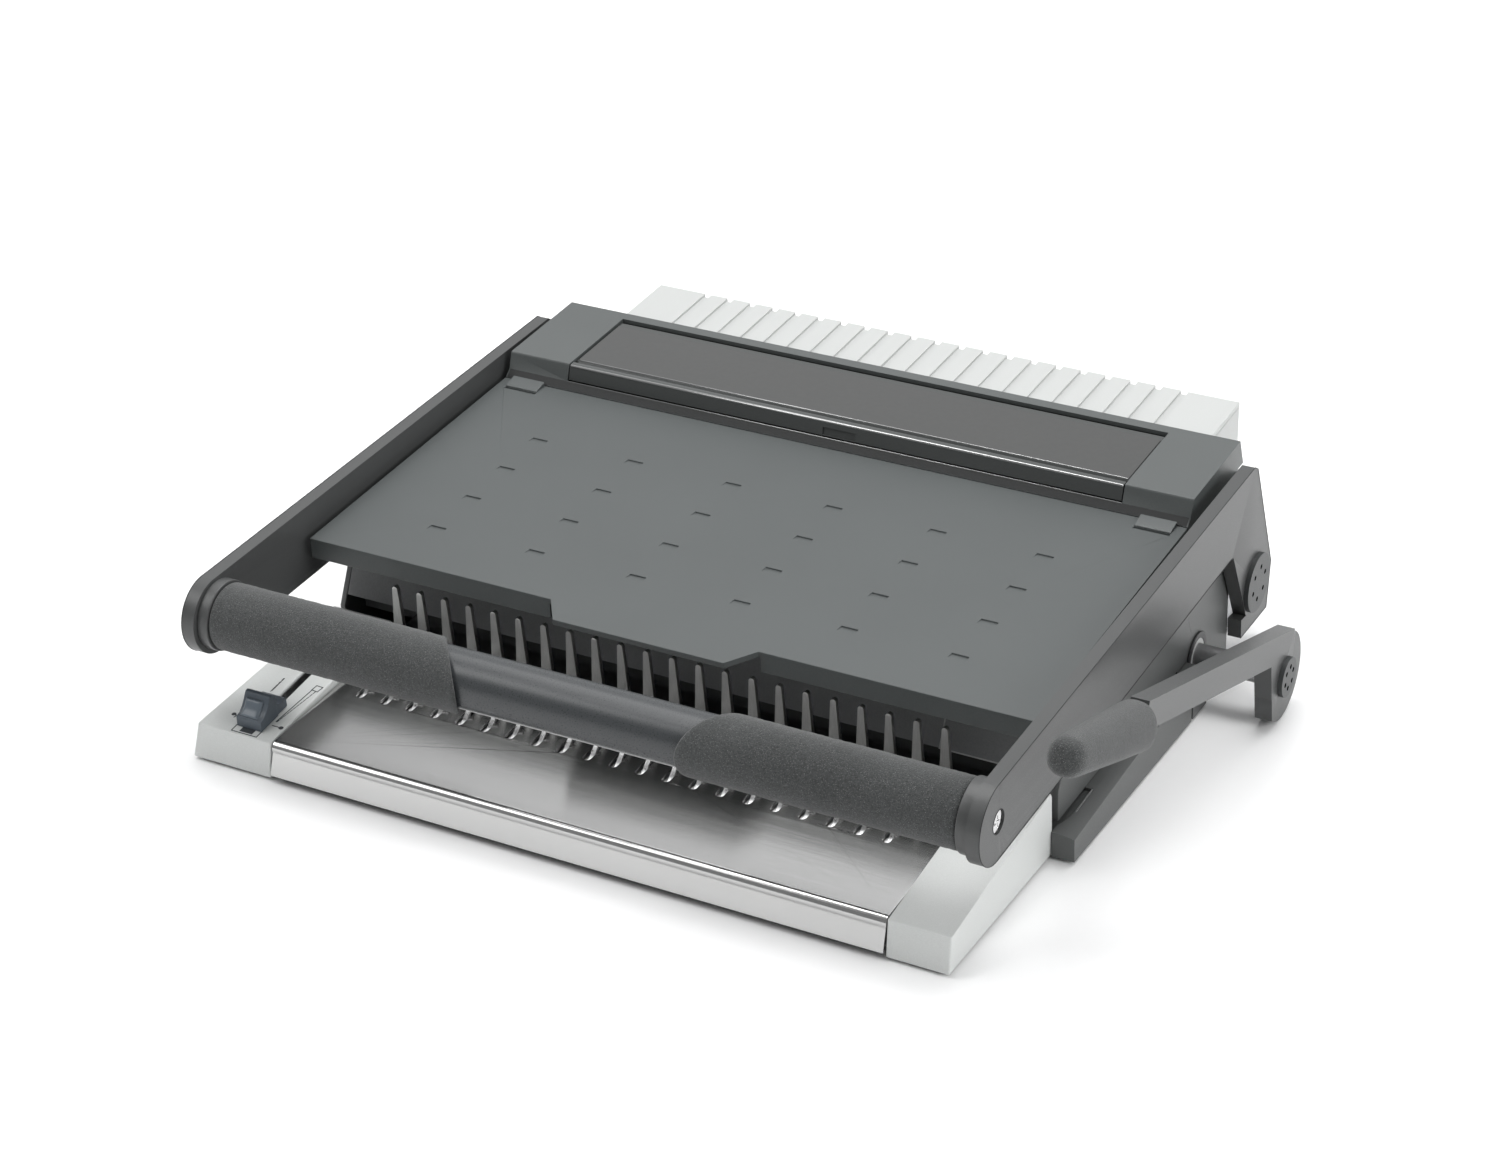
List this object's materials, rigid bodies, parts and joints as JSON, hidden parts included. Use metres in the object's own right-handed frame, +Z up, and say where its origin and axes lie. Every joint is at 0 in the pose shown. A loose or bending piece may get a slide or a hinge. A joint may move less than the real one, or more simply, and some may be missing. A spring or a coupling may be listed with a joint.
{
  "type": "comb binding machine",
  "caption": "Desktop comb binding machine with a U-shaped punch handle, side bind lever, steel comb plate with hooks and fingers, paper panel, hinged lid and chip drawer.",
  "frame": {"origin": "centre of the bounding box on the table plane", "axes": "+Z up, +X to the machine's right seen from the user's side, +Y away from the user"},
  "size_m": [0.466, 0.4214, 0.1262],
  "materials": {
    "body_paint": "satin",
    "lid_paint": "gloss",
    "arm_paint": "satin",
    "foam": "matte, speckled foam",
    "rubber": "matte",
    "plate_steel": "brushed along the length",
    "bright_steel": "bright",
    "zinc_steel": "zinc plated",
    "cap_plastic": "satin",
    "rack_plastic": "satin",
    "dark_plastic": "matte",
    "knob_plastic": "satin",
    "bronze": "plain"
  },
  "bodies": {
    "base": {"base_pan": "body_paint", "feet": "rubber", "left_end_cap": "cap_plastic", "right_end_cap": "cap_plastic", "work_plate": "plate_steel", "fingers": "bright_steel", "finger_rail": "zinc_steel", "left_cheek": "body_paint", "right_cheek": "body_paint", "front_wall": "body_paint", "side_ledge": "body_paint", "top_panel": "body_paint", "edge_stops": "body_paint", "hood": "body_paint", "lid_pins": "bright_steel", "back_panel": "body_paint", "rear_housing": "rack_plastic", "comb_rack": "rack_plastic", "left_bearing_plate": "zinc_steel", "right_bearing_plate": "zinc_steel", "handle_bushes": "bronze", "die_plate": "zinc_steel", "guide_plate": "zinc_steel", "back_stop": "zinc_steel", "guide_pins": "bright_steel", "die_screws": "dark_plastic", "shaft_collar": "dark_plastic", "shaft_bush": "rack_plastic", "shaft_bracket": "zinc_steel", "slider_rails": "zinc_steel", "chip_chute": "zinc_steel"},
    "punch_handle": {"handle_shaft": "bright_steel", "eccentrics": "zinc_steel", "shaft_spacers": "dark_plastic", "left_arm": "arm_paint", "right_arm": "arm_paint", "handle_tube": "arm_paint", "left_grip": "foam", "right_grip": "foam", "handle_collars": "arm_paint", "handle_screws": "bright_steel", "pivot_caps": "arm_paint"},
    "punch_carriage": {"punch_bar": "zinc_steel", "punches": "zinc_steel", "yokes": "zinc_steel"},
    "bind_lever": {"lever_arm": "arm_paint", "lever_grip": "foam", "lever_shaft": "bright_steel", "lever_cap": "arm_paint", "cranks": "zinc_steel"},
    "hook_carriage": {"hook_slider": "zinc_steel", "hooks": "bright_steel", "push_rods": "zinc_steel"},
    "selector": {"size_selector": "knob_plastic"},
    "lid": {"hood_lid": "lid_paint"},
    "drawer": {"chip_drawer": "body_paint", "drawer_pull": "bright_steel"}
  },
  "joints": [
    {"name": "handle_hinge", "type": "hinge", "parent": "base", "child": "punch_handle", "pos_m": [-0.0236, 0.13525, 0.04065], "axis": [-1, 0, 0], "range_deg": [0, 65]},
    {"name": "punch_slide", "type": "slide", "parent": "base", "child": "punch_carriage", "axis": [0, -0.0819, 0.9966], "range_m": [-0.00005, 0.0036]},
    {"name": "lever_hinge", "type": "hinge", "parent": "base", "child": "bind_lever", "pos_m": [-0.0236, 0.07535, 0.02468], "axis": [-1, 0, 0], "range_deg": [0, 62]},
    {"name": "hook_slide", "type": "slide", "parent": "base", "child": "hook_carriage", "axis": [0, 0.9966, 0.0819], "range_m": [-0.0001, 0.0249]},
    {"name": "selector_slide", "type": "slide", "parent": "base", "child": "selector", "axis": [0, 0.9888, 0.1495], "range_m": [0, 0.04]},
    {"name": "lid_hinge", "type": "hinge", "parent": "base", "child": "lid", "pos_m": [-0.0236, 0.13261, 0.10936], "axis": [-1, 0, 0], "range_deg": [0, 88]},
    {"name": "drawer_slide", "type": "slide", "parent": "base", "child": "drawer", "axis": [1, 0, 0], "range_m": [0, 0.16]}
  ],
  "couplings": [
    {"joint": "punch_slide", "follows": "handle_hinge", "m_per_rad": 0.0030881},
    {"joint": "hook_slide", "follows": "lever_hinge", "m_per_rad": 0.022846}
  ]
}
